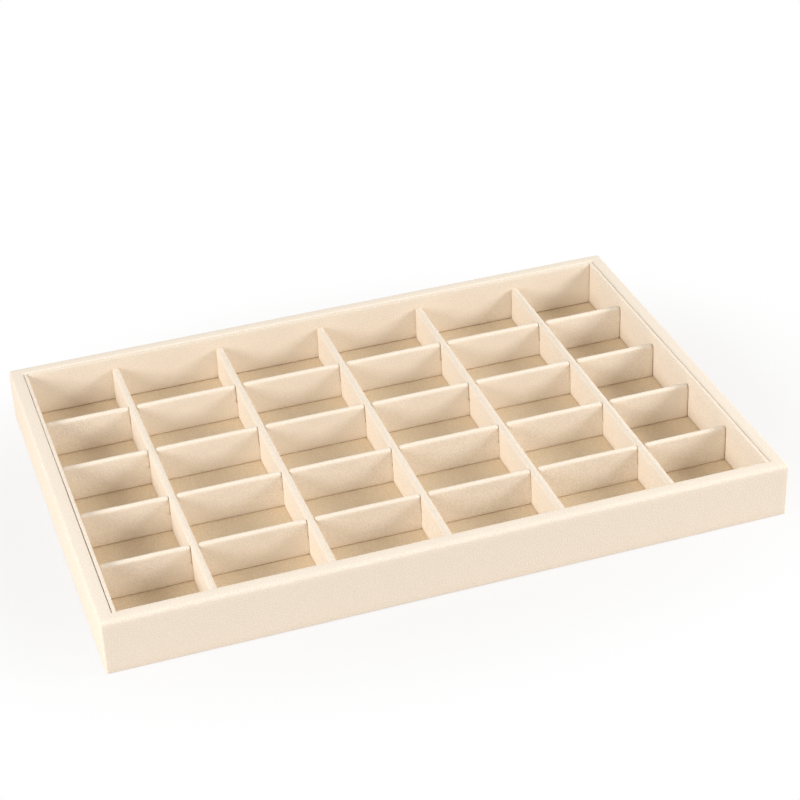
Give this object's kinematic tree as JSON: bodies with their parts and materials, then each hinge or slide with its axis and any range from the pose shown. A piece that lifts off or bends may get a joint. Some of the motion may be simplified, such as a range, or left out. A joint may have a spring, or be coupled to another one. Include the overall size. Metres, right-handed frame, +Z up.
{
  "type": "jewelry tray",
  "caption": "Shallow rectangular velvet-covered jewelry tray with a lift-out grid of cross-lapped dividers that forms small open compartments.",
  "frame": {"origin": "middle of the underside, on the face that the tray rests on", "axes": "+X to the right along the long side, +Y to the back, +Z up out of the compartments"},
  "size_m": [0.35, 0.24, 0.03],
  "materials": {
    "velvet": "short-pile cream velvet",
    "board": "raw fibreboard",
    "card": "grey-brown greyboard",
    "paper": "matt cream paper"
  },
  "bodies": {
    "tray": {"base_board": "board", "front_rail": "board", "back_rail": "board", "left_rail": "board", "right_rail": "board", "frame_cover": "velvet", "underside_sheet": "paper", "floor_card": "card", "floor_cover": "velvet", "left_liner_card": "card", "left_liner_cover": "velvet", "right_liner_card": "card", "right_liner_cover": "velvet", "front_liner_card": "card", "front_liner_cover": "velvet", "back_liner_card": "card", "back_liner_cover": "velvet"},
    "cross_grid": {"cross_divider_1_card": "card", "cross_divider_1_cover": "velvet", "cross_divider_2_card": "card", "cross_divider_2_cover": "velvet", "cross_divider_3_card": "card", "cross_divider_3_cover": "velvet", "cross_divider_4_card": "card", "cross_divider_4_cover": "velvet"},
    "long_divider_1": {"long_divider_1_card": "card", "long_divider_1_cover": "velvet"},
    "long_divider_2": {"long_divider_2_card": "card", "long_divider_2_cover": "velvet"},
    "long_divider_3": {"long_divider_3_card": "card", "long_divider_3_cover": "velvet"},
    "long_divider_4": {"long_divider_4_card": "card", "long_divider_4_cover": "velvet"},
    "long_divider_5": {"long_divider_5_card": "card", "long_divider_5_cover": "velvet"}
  },
  "joints": [
    {"name": "grid_lift", "type": "slide", "parent": "tray", "child": "cross_grid", "axis": [0, 0, 1], "range_m": [0, 0.04]},
    {"name": "long_divider_1_lift", "type": "slide", "parent": "cross_grid", "child": "long_divider_1", "axis": [0, 0, 1], "range_m": [0, 0.03]},
    {"name": "long_divider_2_lift", "type": "slide", "parent": "cross_grid", "child": "long_divider_2", "axis": [0, 0, 1], "range_m": [0, 0.03]},
    {"name": "long_divider_3_lift", "type": "slide", "parent": "cross_grid", "child": "long_divider_3", "axis": [0, 0, 1], "range_m": [0, 0.03]},
    {"name": "long_divider_4_lift", "type": "slide", "parent": "cross_grid", "child": "long_divider_4", "axis": [0, 0, 1], "range_m": [0, 0.03]},
    {"name": "long_divider_5_lift", "type": "slide", "parent": "cross_grid", "child": "long_divider_5", "axis": [0, 0, 1], "range_m": [0, 0.03]}
  ]
}
